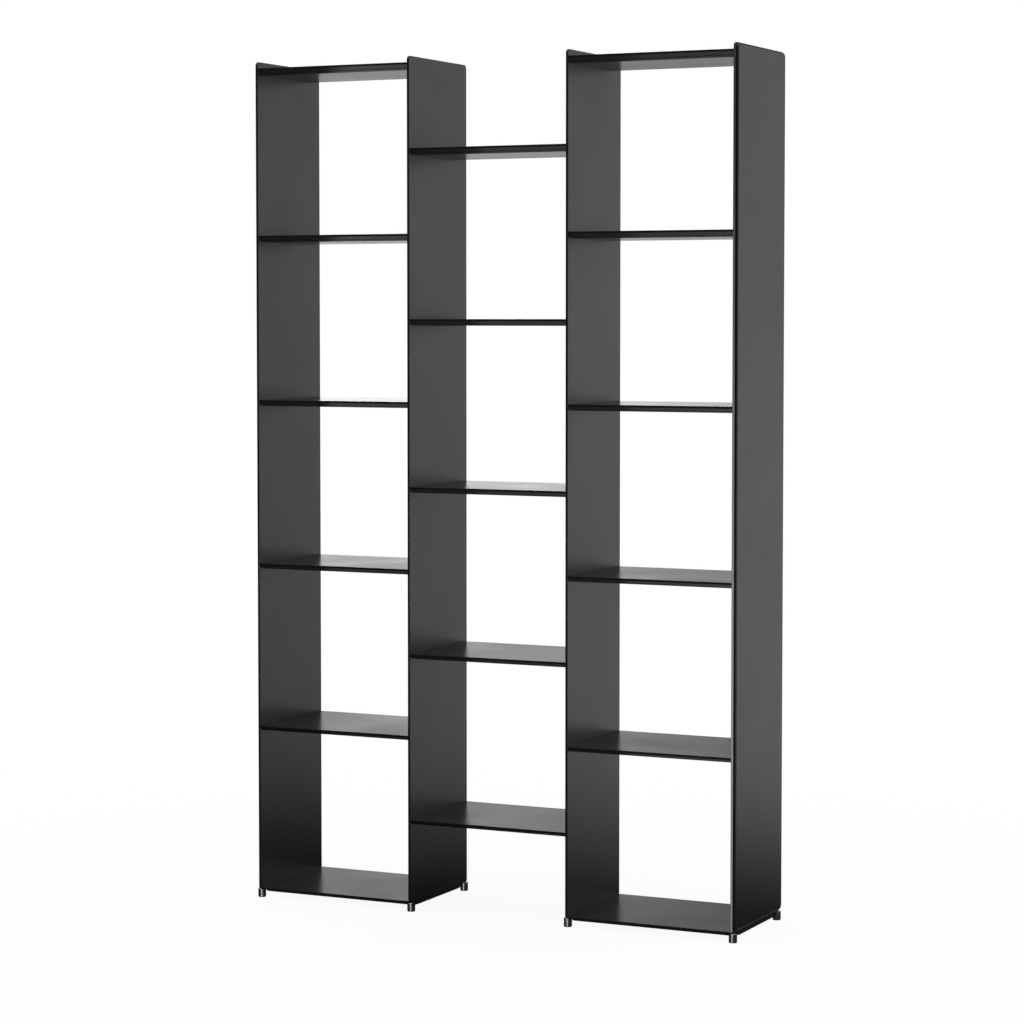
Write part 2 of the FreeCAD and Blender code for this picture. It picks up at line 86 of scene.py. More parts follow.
class Side(Enum):
    """The two open sides on which the feet stand."""

    FRONT = "front"
    REAR = "rear"


# ---- Node groups shared by the finishes ----


class NodeTree:
    """A thin layer over a node tree, so that a finish reads as a list of its steps."""

    def __init__(self, tree: bpy.types.NodeTree) -> None:
        """Keep the node tree of a material, a world or a group."""
        self.tree = tree

    def add(self, kind: str, **settings: object) -> bpy.types.Node:
        """Add a node of a type and set its properties, such as operation; returns the node."""
        node = self.tree.nodes.new(kind)
        for name, value in settings.items():
            setattr(node, name, value)
        return node

    def feed(self, socket: Socket, value: object) -> None:
        """Link an input from an output socket, or give it a plain number or colour."""
        if isinstance(value, Socket):
            self.tree.links.new(value, socket)
        else:
            socket.default_value = value

    def math(self, operation: str, first: object, second: object = 0.0) -> Socket:
        """One arithmetic step on two values; returns its output."""
        node = self.add("ShaderNodeMath", operation=operation)
        self.feed(node.inputs[0], first)
        self.feed(node.inputs[1], second)
        return node.outputs[0]

    def vector_math(self, operation: str, first: object,
                    second: object = (0.0, 0.0, 0.0)) -> bpy.types.Node:
        """One arithmetic step on one or two vectors; returns the node."""
        node = self.add("ShaderNodeVectorMath", operation=operation)
        self.feed(node.inputs[0], first)
        self.feed(node.inputs[1], second)
        return node

    def map_range(self, value: object, low: float, high: float, to_low: float,
                  to_high: float, smooth: bool = False) -> Socket:
        """Carry a value from one range to another, clamped; returns the output."""
        node = self.add("ShaderNodeMapRange", clamp=True)
        if smooth:
            node.interpolation_type = "SMOOTHSTEP"
        for index, item in enumerate((value, low, high, to_low, to_high)):
            self.feed(node.inputs[index], item)
        return node.outputs[0]

    def mix_colour(self, factor: object, first: object, second: object) -> Socket:
        """Blend two colours; returns the output."""
        node = self.add("ShaderNodeMix", data_type="RGBA")
        self.feed(node.inputs[0], factor)
        self.feed(node.inputs[6], first)
        self.feed(node.inputs[7], second)
        return node.outputs[2]

    def mix_shader(self, factor: object, first: bpy.types.Node,
                   second: bpy.types.Node) -> bpy.types.Node:
        """Blend two shaders; returns the node."""
        node = self.add("ShaderNodeMixShader")
        self.feed(node.inputs[0], factor)
        self.feed(node.inputs[1], first.outputs[0])
        self.feed(node.inputs[2], second.outputs[0])
        return node

    def place(self) -> Socket:
        """Place on the object in metres; returns the output."""
        return self.add("ShaderNodeTexCoord").outputs["Object"]

    def normal(self) -> Socket:
        """Direction in which the face looks; returns the output."""
        return self.add("ShaderNodeNewGeometry").outputs["Normal"]

    def split(self, vector: object) -> bpy.types.NodeOutputs:
        """Take a vector apart; returns the outputs X, Y and Z."""
        node = self.add("ShaderNodeSeparateXYZ")
        self.feed(node.inputs[0], vector)
        return node.outputs

    def bell(self, value: object, width: float) -> Socket:
        """Bell curve of a value: e to the power of minus its square over the width's square."""
        share = self.math("DIVIDE", value, width)
        square = self.math("MULTIPLY", share, share)
        return self.math("EXPONENT", self.math("MULTIPLY", square, -1.0))

    def noise(self, vector: object, scale: float, detail: float, roughness: float = 0.5) -> Socket:
        """Fractal noise of a scale in cycles per metre; returns its value."""
        node = self.add("ShaderNodeTexNoise")
        self.feed(node.inputs["Vector"], vector)
        node.inputs["Scale"].default_value = scale
        node.inputs["Detail"].default_value = detail
        node.inputs["Roughness"].default_value = roughness
        return node.outputs[0]

    def squeezed_noise(self, squeeze: Triple, scale: float, detail: float) -> Socket:
        """Noise drawn out along each axis whose squeeze is far below 1; returns its value."""
        mapping = self.add("ShaderNodeMapping")
        self.feed(mapping.inputs["Vector"], self.place())
        mapping.inputs["Scale"].default_value = squeeze
        return self.noise(mapping.outputs["Vector"], scale, detail)

    def bump(self, shader: bpy.types.Node, height: object, strength: float, depth: float) -> None:
        """Give a shader a fine relief of a depth in metres."""
        node = self.add("ShaderNodeBump")
        node.inputs["Strength"].default_value = strength
        node.inputs["Distance"].default_value = depth
        self.feed(node.inputs["Height"], height)
        self.feed(shader.inputs["Normal"], node.outputs["Normal"])


def new_group(name: str, inputs: dict[str, float], outputs: Iterable[str]) -> tuple[
        bpy.types.NodeTree, NodeTree, bpy.types.Node, bpy.types.Node]:
    """Start a shader node group with number sockets; the inputs come with their defaults.

    Returns:
        The group, a layer over it, its input node and its output node.
    """
    group = bpy.data.node_groups.new(name, "ShaderNodeTree")
    number = "NodeSocketFloat"
    for socket_name, value in inputs.items():
        socket = group.interface.new_socket(socket_name, in_out="INPUT", socket_type=number)
        socket.default_value = value
    for socket_name in outputs:
        group.interface.new_socket(socket_name, in_out="OUTPUT", socket_type=number)
    steps = NodeTree(group)
    return group, steps, steps.add("NodeGroupInput"), steps.add("NodeGroupOutput")


class Effects:
    """The shared effects, each built once: powder texture, edge mask and settled dust.

    Scales of noise are in cycles per metre, and its octaves say how fine its detail goes.
    """

    GRAIN_SCALE = 1700.0
    GRAIN_SHARE = 0.35
    RIPPLE_SCALE = 260.0
    RIPPLE_GLOSS = 0.2
    FINE_OCTAVES = 2.0
    PATCH_SCALE = 6.5
    PATCH_OCTAVES = 3.0
    PATCH_ROUGHNESS = 0.45
    PATCH_GLOSS = 0.8

    EDGE_SAMPLES = 4
    LEAN_START, LEAN_FULL = 0.001, 0.025
    RUB_SCALE = 90.0
    RUB_OCTAVES = 3.0
    RUB_LOW, RUB_HIGH = 0.35, 0.65

    UPWARD_START = 0.5
    DUST_SCALE = 16.0
    DUST_OCTAVES = 6.0
    DUST_ROUGHNESS = 0.6
    DUST_LOW, DUST_HIGH = 0.3, 0.75
    DUST_LEAST = 0.3

    def __init__(self) -> None:
        """Build the three groups."""
        self.powder = self._powder_texture()
        self.edges = self._edge_mask()
        self.dust = self._settled_dust()

    def _powder_texture(self) -> bpy.types.NodeTree:
        """Orange-peel height of baked powder and the slow change of gloss over a sheet.

        The height is the sum of a fine grain of about 0.6 mm and a flow ripple of about 4 mm. The
        gloss is a noise of about 150 mm with a little of the ripple.
        """
        group, steps, _, out = new_group("powder texture", {}, ("Height", "Gloss"))
        place = steps.place()
        grain = steps.noise(place, self.GRAIN_SCALE, self.FINE_OCTAVES)
        ripple = steps.noise(place, self.RIPPLE_SCALE, self.FINE_OCTAVES)
        patch = steps.noise(place, self.PATCH_SCALE, self.PATCH_OCTAVES, self.PATCH_ROUGHNESS)
        height = steps.math("ADD", steps.math("MULTIPLY", grain, self.GRAIN_SHARE), ripple)
        gloss = steps.math("ADD", steps.math("MULTIPLY", ripple, self.RIPPLE_GLOSS),
                           steps.math("MULTIPLY", patch, self.PATCH_GLOSS))
        steps.feed(out.inputs["Height"], height)
        steps.feed(out.inputs["Gloss"], gloss)
        return group

    def _edge_mask(self) -> bpy.types.NodeTree:
        """Mask that rises on sharp edges: how far the rounded normal leans from the face's own."""
        inputs = {"Width": 1.0 * MM, "Breakup": 0.5}
        group, steps, given, out = new_group("edge mask", inputs, ("Mask",))
        rounded = steps.add("ShaderNodeBevel", samples=self.EDGE_SAMPLES)
        steps.feed(rounded.inputs["Radius"], given.outputs["Width"])
        same = steps.vector_math("DOT_PRODUCT", rounded.outputs[0], steps.normal()).outputs["Value"]
        lean = steps.math("SUBTRACT", 1.0, same)
        edge = steps.map_range(lean, self.LEAN_START, self.LEAN_FULL, 0.0, 1.0)
        rub = steps.noise(steps.place(), self.RUB_SCALE, self.RUB_OCTAVES)
        patchy = steps.map_range(rub, self.RUB_LOW, self.RUB_HIGH, 0.0, 1.0)
        kept = steps.math("SUBTRACT", 1.0, steps.math("MULTIPLY", given.outputs["Breakup"], patchy))
        steps.feed(out.inputs["Mask"], steps.math("MULTIPLY", edge, kept))
        return group

    def _settled_dust(self) -> bpy.types.NodeTree:
        """Mask of the thin dust on faces that look up, in soft patches of about 60 mm."""
        group, steps, given, out = new_group("settled dust", {"Amount": 0.2}, ("Mask",))
        upward = steps.map_range(steps.split(steps.normal())["Z"], self.UPWARD_START, 1.0, 0.0, 1.0)
        cloud = steps.noise(steps.place(), self.DUST_SCALE, self.DUST_OCTAVES, self.DUST_ROUGHNESS)
        patches = steps.map_range(cloud, self.DUST_LOW, self.DUST_HIGH, self.DUST_LEAST, 1.0)
        amount = steps.math("MULTIPLY", patches, given.outputs["Amount"])
        steps.feed(out.inputs["Mask"], steps.math("MULTIPLY", upward, amount))
        return group


# ---- Finishes ----


def start_material(name: str) -> tuple[Material, NodeTree, bpy.types.Node]:
    """Start a material; returns it, a layer over its nodes and its Principled shader."""
    material = bpy.data.materials.new(name)
    material.use_nodes = True
    steps = NodeTree(material.node_tree)
    shader = next(node for node in material.node_tree.nodes if node.type == "BSDF_PRINCIPLED")
    return material, steps, shader


def place_group(steps: NodeTree, group: bpy.types.NodeTree,
                **values: float) -> bpy.types.NodeOutputs:
    """Put a shared effect into a material; values are its inputs. Returns its outputs."""
    node = steps.add("ShaderNodeGroup")
    node.node_tree = group
    for name, value in values.items():
        node.inputs[name].default_value = value
    return node.outputs


def colour(value: float, warmth: float = 0.0) -> tuple[float, float, float, float]:
    """Near-grey linear colour; warmth above 0 leans to red and below 0 to blue."""
    return (value * (1.0 + warmth), value, value * (1.0 - warmth), 1.0)


@dataclass(frozen=True)
class PowderCoat:
    """Black satin powder coat of the plates and shelves.

    Attributes:
        name: The material's name.
        tone: The coat's own colour.
        warmth: Lean of that colour to red, or to blue below 0.
        refraction: Index of refraction of the coat.
        specular: Specular level of the faces.
        smooth_roughness: Roughness of the glossiest patches.
        dull_roughness: Roughness of the dullest patches.
        flat_start: How nearly edge on a face is seen where its roughness begins to fall.
        flat_full: The same where it has fallen.
        flat_share: What is then left of it.
        texture_strength: Strength of the powder's relief.
        texture_depth: Height of that relief.
        edge_tone: Darker colour on sharp edges, painted shade for the dark lines along them.
        edge_width: How far an edge's rub reaches.
        edge_breakup: How much of the rub is broken up.
        edge_full: Value of the edge mask from which on an edge is fully dull.
        edge_specular: Specular level on sharp edges.
        narrow_specular: Specular level on the narrow faces that look to the front and rear.
        dust: How much dust lies on faces that look up.
        dust_tone: Colour of settled dust.
        dust_warmth: Lean of that colour to red.
        dust_roughness: Roughness that full dust adds.
        front_highlight_tone: Colour of a painted highlight on the faces that look to the front, or
            None where there is none.
        front_highlight_top: Height at which the painted highlight begins to show.
        front_highlight_full: Height below which the painted highlight is at full strength.
        floor_reflection_tone: Colour of a painted reflection of the floor in a band along the lower
            edge, or None where there is none.
        floor_reflection_height: Height of the upper side of that band.
        floor_reflection_blur: How far the band fades to each side of that height.
    """

    name: str
    tone: float = 0.006
    warmth: float = -0.02
    refraction: float = 1.5
    specular: float = 0.5
    smooth_roughness: float = 0.28
    dull_roughness: float = 0.33
    flat_start: float = 0.9
    flat_full: float = 0.99
    flat_share: float = 0.7
    texture_strength: float = 0.5
    texture_depth: float = 0.02 * MM
    edge_tone: float = 0.003
    edge_width: float = 2.0 * MM
    edge_breakup: float = 0.15
    edge_full: float = 0.8
    edge_specular: float = 0.06
    narrow_specular: float = 0.02
    dust: float = 0.03
    dust_tone: float = 0.1
    dust_warmth: float = 0.04
    dust_roughness: float = 0.4
    front_highlight_tone: float | None = None
    front_highlight_top: float = 1.9
    front_highlight_full: float = 0.35
    floor_reflection_tone: float | None = None
    floor_reflection_height: float = 28.8 * MM
    floor_reflection_blur: float = 0.5 * MM

    def material(self, effects: Effects) -> Material:
        """Build the finish with the shared effects; returns the material."""
        material, steps, shader = start_material(self.name)
        powder = place_group(steps, effects.powder)
        edge = place_group(steps, effects.edges, Width=self.edge_width,
                           Breakup=self.edge_breakup)["Mask"]
        dusty = place_group(steps, effects.dust, Amount=self.dust)["Mask"]
        steps.feed(shader.inputs["Base Color"], self._tint(steps, edge, dusty))
        steps.feed(shader.inputs["Roughness"], self._roughness(steps, powder["Gloss"], dusty))
        steps.feed(shader.inputs["Specular IOR Level"], self._specular(steps, edge))
        shader.inputs["IOR"].default_value = self.refraction
        steps.bump(shader, powder["Height"], self.texture_strength, self.texture_depth)
        return material

    def _tint(self, steps: NodeTree, edge: object, dusty: object) -> Socket:
        """Colour of the coat, its painted edge shade and dust, and any painted front highlight and
        floor reflection.
        """
        # Sharp edges are painted darker: painted shade for the dark lines along them.
        tint = steps.mix_colour(edge, colour(self.tone, self.warmth), colour(self.edge_tone))
        tint = steps.mix_colour(dusty, tint, colour(self.dust_tone, self.dust_warmth))
        # Painted highlight: the front faces turn lighter towards the bottom.
        if self.front_highlight_tone is not None:
            tint = steps.mix_colour(self._front_highlight_mask(steps), tint, colour(self.front_highlight_tone))
        # Painted reflection of the floor: a lighter band along the lower edge.
        if self.floor_reflection_tone is not None:
            tint = steps.mix_colour(self._floor_reflection_mask(steps), tint, colour(self.floor_reflection_tone))
        return tint

    def _roughness(self, steps: NodeTree, gloss: object, dusty: object) -> Socket:
        """Roughness: it changes in patches, falls at flat angles and rises under dust."""
        patchy = steps.map_range(gloss, NOISE_LOW, NOISE_HIGH,
                                 self.smooth_roughness, self.dull_roughness)
        facing = steps.add("ShaderNodeLayerWeight").outputs["Facing"]
        share = steps.map_range(facing, self.flat_start, self.flat_full, 1.0, self.flat_share)
        return steps.math("ADD", steps.math("MULTIPLY", patchy, share),
                          steps.math("MULTIPLY", dusty, self.dust_roughness))

    def _specular(self, steps: NodeTree, edge: object) -> Socket:
        """Specular level: dull on sharp edges, and on the narrow faces except where a painted front
        highlight is set.
        """
        level = steps.map_range(edge, 0.0, self.edge_full, self.specular, self.edge_specular)
        if self.front_highlight_tone is not None:
            return level
        across = steps.math("ABSOLUTE", steps.split(steps.normal())["Y"])
        narrow = steps.map_range(across, STRAIGHT_START, STRAIGHT_FULL,
                                 self.specular, self.narrow_specular)
        return steps.math("MINIMUM", level, narrow)

    def _front_highlight_mask(self, steps: NodeTree) -> Socket:
        """Mask of the painted highlight on the faces that look to the front, which fades out towards
        the top.
        """
        across = steps.split(steps.normal())["Y"]
        front = steps.map_range(across, -STRAIGHT_FULL, -STRAIGHT_START, 1.0, 0.0)
        height = steps.split(steps.place())["Z"]
        low = steps.map_range(height, self.front_highlight_full, self.front_highlight_top, 1.0, 0.0, smooth=True)
        return steps.math("MULTIPLY", front, low)

    def _floor_reflection_mask(self, steps: NodeTree) -> Socket:
        """Mask of the band at the lower edge that carries the painted floor reflection."""
        height = steps.split(steps.place())["Z"]
        return steps.map_range(height, self.floor_reflection_height - self.floor_reflection_blur,
                               self.floor_reflection_height + self.floor_reflection_blur, 1.0, 0.0)


@dataclass(frozen=True)
class Grain:
    """Fine grain that a way of working leaves on a surface.

    Attributes:
        scale: Scale of its noise in cycles per metre.
        detail: How many octaves the noise has.
        squeeze: How fast it changes along X, Y and Z; far below 1 it becomes lines along that axis.
        strength: Strength of its relief, or 0 where it has none.
        depth: Height of that relief in metres.
    """

    scale: float
    detail: float
    squeeze: Triple = (1.0, 1.0, 1.0)
    strength: float = 0.0
    depth: float = 0.0


# Rings round the upright axis of a turned piece, die lines along an extruded bar, and the even
# grain of a spark-eroded mould.
LATHE_RINGS = Grain(2600.0, 2.0, (0.02, 0.02, 1.0), 0.3, 0.01 * MM)
DIE_LINES = Grain(1400.0, 3.0, (0.01, 1.0, 1.0))
MOULD_GRAIN = Grain(3200.0, 2.0, strength=0.4, depth=0.03 * MM)


@dataclass(frozen=True)
class GrainedFinish:
    """Bare or plated metal, or plastic, with a fine grain and rubbed edges.

    Attributes:
        name: The material's name.
        tone: Its colour.
        edge_tone: Colour of its rubbed edges.
        smooth_roughness: Roughness where the grain is smoothest.
        dull_roughness: Roughness where it is dullest.
        grain: The grain.
        metallic: 1 for a metal and 0 for plastic.
        edge_width: How far an edge's rub reaches.
        edge_breakup: How much of the rub is broken up.
    """

    name: str
    tone: float
    edge_tone: float
    smooth_roughness: float
    dull_roughness: float
    grain: Grain
    metallic: float = 1.0
    edge_width: float = 0.5 * MM
    edge_breakup: float = 0.3

    def material(self, effects: Effects) -> Material:
        """Build the finish with the shared effects; returns the material."""
        material, steps, shader = start_material(self.name)
        grain = steps.squeezed_noise(self.grain.squeeze, self.grain.scale, self.grain.detail)
        edge = place_group(steps, effects.edges, Width=self.edge_width,
                           Breakup=self.edge_breakup)["Mask"]
        steps.feed(shader.inputs["Base Color"],
                   steps.mix_colour(edge, colour(self.tone), colour(self.edge_tone)))
        steps.feed(shader.inputs["Roughness"], steps.map_range(
            grain, NOISE_LOW, NOISE_HIGH, self.smooth_roughness, self.dull_roughness))
        shader.inputs["Metallic"].default_value = self.metallic
        if self.grain.strength > 0.0:
            steps.bump(shader, grain, self.grain.strength, self.grain.depth)
        return material


# ---- Surfaces worked out on grids ----


def add_object(name: str, data: bpy.types.ID) -> bpy.types.Object:
    """Put a mesh, lamp or camera into the scene; returns its object."""
    item = bpy.data.objects.new(name, data)
    bpy.context.scene.collection.objects.link(item)
    return item


@dataclass
class Shell:
    """A closed surface: points (n, 3) and faces as lists of point numbers."""

    points: np.ndarray
    faces: list[list[int]]

    def signed_volume(self) -> float:
        """Volume by the divergence theorem: positive when the faces look outwards."""
        total = 0.0
        for size in (3, 4):
            corners = np.array([face for face in self.faces if len(face) == size], dtype=int)
            for step in range(1, size - 1) if len(corners) else ():
                first, second, third = (self.points[corners[:, i]] for i in (0, step, step + 1))
                total += float(np.einsum("ij,ij->i", first, np.cross(second, third)).sum()) / 6.0
        return total

    def outward(self) -> "Shell":
        """The same shell with its faces looking outwards."""
        if self.signed_volume() < 0.0:
            self.faces = [face[::-1] for face in self.faces]
        return self

    def copies(self, places: np.ndarray) -> "Shell":
        """Repeat the shell at places, given as offsets (k, 3); returns the copies as one shell."""
        count = len(self.points)
        points = (self.points[None, :, :] + places[:, None, :]).reshape(-1, 3)
        faces = [[index + count * copy for index in face] for copy in range(len(places))
                 for face in self.faces]
        return Shell(points, faces)

    def turned(self, columns: np.ndarray) -> "Shell":
        """The shell with its own X, Y and Z laid along the three columns of a matrix."""
        return Shell(self.points @ columns.T, self.faces).outward()

    def to_object(self, name: str, smooth_angle: float) -> bpy.types.Object:
        """Make the mesh object, smooth except where faces meet at more than an angle.

        Args:
            name: The object's name.
            smooth_angle: The largest angle in degrees that is still shaded smooth.

        Returns:
            The object, linked to the scene.
        """
        mesh = bpy.data.meshes.new(name)
        mesh.from_pydata(self.points.tolist(), [], self.faces)
        mesh.validate()
        mesh.shade_smooth()
        mesh.set_sharp_from_angle(angle=math.radians(smooth_angle))
        mesh.update()
        return add_object(name, mesh)


# Columns that turn a piece made along Z so that it lies along X.
Z_ALONG_X = np.array([[0.0, 0.0, 1.0], [1.0, 0.0, 0.0], [0.0, 1.0, 0.0]])


def shell_of_rings(rings: np.ndarray) -> Shell:
    """Skin a stack of rings with quads and close both ends with fans to their centres.

    Args:
        rings: Points (stations, around, 3); the first and last ring are closed.

    Returns:
        The closed shell, looking outwards.
    """
    stations, around, _ = rings.shape
    index = np.arange(stations * around).reshape(stations, around)
    following = np.roll(index, -1, axis=1)
    quads = np.stack([index[:-1], following[:-1], following[1:], index[1:]], axis=-1).reshape(-1, 4)
    start, end = stations * around, stations * around + 1
    first_fan = np.stack([np.full(around, start), following[0], index[0]], axis=-1)
    last_fan = np.stack([np.full(around, end), index[-1], following[-1]], axis=-1)
    points = np.concatenate([rings.reshape(-1, 3), rings[[0, -1]].mean(axis=1)])
    faces = quads.tolist() + first_fan.tolist() + last_fan.tolist()
    return Shell(points, faces).outward()


def angles_round(around: int) -> np.ndarray:
    """Evenly spaced angles round a circle, in radians."""
    return np.linspace(0.0, 2.0 * math.pi, around, endpoint=False)


def rings_of(radii: np.ndarray, heights: np.ndarray, angles: np.ndarray) -> np.ndarray:
    """Points (stations, around, 3) of rings round Z, from radii (stations, around) and heights."""
    upright = np.repeat(heights[:, None], len(angles), axis=1)
    return np.stack([radii * np.cos(angles), radii * np.sin(angles), upright], axis=-1)


def hexagon_radius(angles: np.ndarray, across_flats: float) -> np.ndarray:
    """Distance from the centre of a hexagon to its sides, at each angle."""
    sector = math.pi / 3.0
    from_middle = np.mod(angles + sector / 2.0, sector) - sector / 2.0
    return across_flats / 2.0 / np.cos(from_middle)


# A hexagon socket: its floor sinks a little up to half-way in, and its lead-in reaches just outside
# the hexagon's corners.
SOCKET_FLOOR_RIM = 0.5
SOCKET_FLOOR_SINK = 1.04
LEAD_IN_DEPTH = 0.3 * MM
LEAD_IN_SHARE = 0.58
LEAD_IN_MARGIN = 0.05 * MM


def socket_screw(stations: list[tuple[float, float]], across_flats: float, socket_depth: float,
                 around: int = 48) -> Shell:
    """Screw along +Z with a hexagon socket in its end at Z = 0.

    The surface runs from the socket's floor up its six sides, over the lead-in and the end face,
    and then along the given stations to the tip.

    Args:
        stations: (radius, height) of the outside, from the end face to the tip, in metres.
        across_flats: Width of the socket.
        socket_depth: Depth of the socket.
        around: Points round the screw.

    Returns:
        The closed shell.
    """
    angles = angles_round(around)
    hexagon = hexagon_radius(angles, across_flats)
    lead_in = across_flats * LEAD_IN_SHARE + LEAD_IN_MARGIN
    outside = np.array(stations)
    radii = [hexagon * SOCKET_FLOOR_RIM, hexagon, hexagon, np.full(around, lead_in)]
    radii += [np.full(around, radius) for radius in outside[:, 0]]
    heights = [socket_depth * SOCKET_FLOOR_SINK, socket_depth, LEAD_IN_DEPTH, 0.0]
    heights += outside[:, 1].tolist()
    return shell_of_rings(rings_of(np.stack(radii), np.array(heights), angles))


def threaded_stud(radius: float, length: float, pitch: float, depth: float,
                  per_turn: int = 8, around: int = 24) -> Shell:
    """Stud hanging down from Z = 0 with a right-hand thread.

    The radius falls by a triangle wave of the height in pitches less the angle in turns, and the
    thread runs out over the last pitch.

    Args:
        radius: Outer radius.
        length: Length below Z = 0.
        pitch: Height of one turn.
        depth: Depth of the thread.
        per_turn: Rings for each turn.
        around: Points round the stud.

    Returns:
        The closed shell.
    """
    angles = angles_round(around)
    heights = np.linspace(0.0, -length, int(round(length / pitch)) * per_turn + 1)
    phase = np.mod(heights[:, None] / pitch - angles[None, :] / (2.0 * math.pi), 1.0)
    groove = 1.0 - np.abs(2.0 * phase - 1.0)
    fade = np.clip((heights + length) / pitch, 0.0, 1.0)[:, None]
    radii = radius - depth * (groove * fade + (1.0 - fade))
    return shell_of_rings(rings_of(radii, heights, angles))


# ---- Sub-assemblies ----


def dress(node: str, material: Material) -> None:
    """Give a node of the frame its finish."""
    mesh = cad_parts[node].data
    mesh.materials.clear()
    mesh.materials.append(material)


def stand_for(piece: bpy.types.Object, node: str, material: Material) -> None:
    """Give a new steel piece its finish, and let it stand for a node fixed to the frame."""
    piece.data.materials.append(material)
    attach(piece, "frame")
    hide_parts(node)
    LOG.info("made %s", piece.name)


@dataclass
class Carcass:
    """Uprights, their connector bars and the end cover."""

    plate: Material
    end_plate: Material
    cover: Material
    bar: Material

    def build(self) -> None:
        """Dress the plates and bars; the last upright, under the cover, has its own finish with a
        painted highlight on its front edge.
        """
        for number in range(1, UPRIGHT_COUNT + 1):
            plate = self.end_plate if number == UPRIGHT_COUNT else self.plate
            dress(f"upright_{number}", plate)
            dress(f"upright_{number}_connectors", self.bar)
        dress("right_end_cover", self.cover)
        LOG.info("dressed %d uprights and the end cover", UPRIGHT_COUNT)


@dataclass
class Shelves:
    """The shelves of the three bays."""

    finish: Material

    def build(self) -> None:
        """Dress every shelf."""
        for bay in Bay:
            for node in bay.shelf_nodes():
                dress(node, self.finish)
            LOG.info("dressed the shelves of the %s bay", bay.value[0])


@dataclass
class Fixings:
    """Set screws under the shelf ends and countersunk screws behind the cover.

    Attributes:
        set_socket: Width of a set screw's socket across its flats.
        set_socket_depth: Depth of that socket.
        set_chamfer: Chamfer at its outer end; the one at its tip is twice as long.
        cup_radius: Radius of a set screw's tip.
        head_radius: Radius of a countersunk head.
        head_rim: Height of the rim round that head.
        head_rim_fit: How much smaller the rim's radius is.
        head_chamfer: Chamfer of the rim, measured inwards.
        shank_radius: Radius of a countersunk screw's shank.
        head_socket: Width of its socket across its flats.
        head_socket_depth: Depth of that socket.
        tip_length: Length of the taper at its tip.
        tip_share: What is left of the radius at the end of the taper.
    """

    finish: Material
    set_socket: float = 2.5 * MM
    set_socket_depth: float = 2.6 * MM
    set_chamfer: float = 0.35 * MM
    cup_radius: float = 1.3 * MM
    head_radius: float = 4.0 * MM
    head_rim: float = 0.1 * MM
    head_rim_fit: float = 0.05 * MM
    head_chamfer: float = 0.1 * MM
    shank_radius: float = 2.0 * MM
    head_socket: float = 2.5 * MM
    head_socket_depth: float = 1.5 * MM
    tip_length: float = 0.6 * MM
    tip_share: float = 0.7

    def build(self) -> None:
        """Make the screws of each bay and of the cover."""
        for bay in Bay:
            self._set_screws(bay)
        self._cover_screws()

    def _set_screws(self, bay: Bay) -> None:
        """Hexagon-socket set screws, flush with the undersides of one bay's shelf ends."""
        node = f"{bay.value[0]}_lock_screws"
        low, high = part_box(node)
        radius = (high.y - low.y) / 2.0
        undersides = [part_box(shelf)[0].z for shelf in bay.shelf_nodes()]
        length = high.z - undersides[-1]
        outside = [(radius - self.set_chamfer, 0.0), (radius, self.set_chamfer),
                   (radius, length - self.set_chamfer * 2.0), (self.cup_radius, length)]
        screw = socket_screw(outside, self.set_socket, self.set_socket_depth)
        ends = (low.x + radius, high.x - radius)
        places = np.array([(x, 0.0, z) for z in undersides for x in ends])
        piece = screw.copies(places).to_object(f"{bay.value[0]}_set_screws", SCREW_SHARP_ANGLE)
        stand_for(piece, node, self.finish)

    def _cover_screws(self) -> None:
        """Countersunk hexagon-socket screws, flush with the inner face of the last upright."""
        low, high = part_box("cover_screws")
        length = high.x - low.x
        drop = self.head_radius - self.shank_radius
        rim = self.head_radius - self.head_rim_fit
        outside = [(rim - self.head_chamfer, 0.0), (rim, self.head_rim), (self.shank_radius, drop),
                   (self.shank_radius, length - self.tip_length),
                   (self.shank_radius * self.tip_share, length)]
        upright_screw = socket_screw(outside, self.head_socket, self.head_socket_depth)
        screw = upright_screw.turned(Z_ALONG_X)
        rows = [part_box(shelf)[1].z for shelf in Bay.CENTRE.shelf_nodes()]
        columns = (low.y + self.head_radius, high.y - self.head_radius)
        places = np.array([(low.x, y, z) for z in rows for y in columns])
        piece = screw.copies(places).to_object("cover_socket_screws", SCREW_SHARP_ANGLE)
        stand_for(piece, "cover_screws", self.finish)


@dataclass
class LevellingFeet:
    """The eight feet with their glides and threaded studs."""

    foot_finish: Material
    glide_finish: Material
    stud_finish: Material
    thread_pitch: float = 1.0 * MM
    thread_depth: float = 0.54 * MM

    def build(self) -> None:
        """Dress feet and glides and make the threaded studs."""
        centres = []
        for number in range(1, UPRIGHT_COUNT + 1):
            for side in Side:
                foot = f"foot_{number}_{side.value}"
                dress(foot, self.foot_finish)
                dress(f"glide_{number}_{side.value}", self.glide_finish)
                low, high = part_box(foot)
                centres.append(((low.x + high.x) / 2.0, (low.y + high.y) / 2.0))
        LOG.info("dressed %d feet", len(centres))
        self._studs(centres)

    def _studs(self, centres: list[tuple[float, float]]) -> None:
        """Threaded studs hanging from the notches, one over each of the feet's centres (X, Y)."""
        low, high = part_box("foot_studs")
        radius = centres[0][0] - low.x
        stud = threaded_stud(radius, high.z - low.z, self.thread_pitch, self.thread_depth)
        places = np.array([(x, y, high.z) for x, y in centres])
        piece = stud.copies(places).to_object("threaded_foot_studs", STUD_SHARP_ANGLE)
        stand_for(piece, "foot_studs", self.stud_finish)


# ---- Studio ----


class LampUse(Enum):
    """What a lamp is for: light on every surface, or a sheen in the gloss alone."""

    LIGHT = "light"
    SHEEN = "sheen"


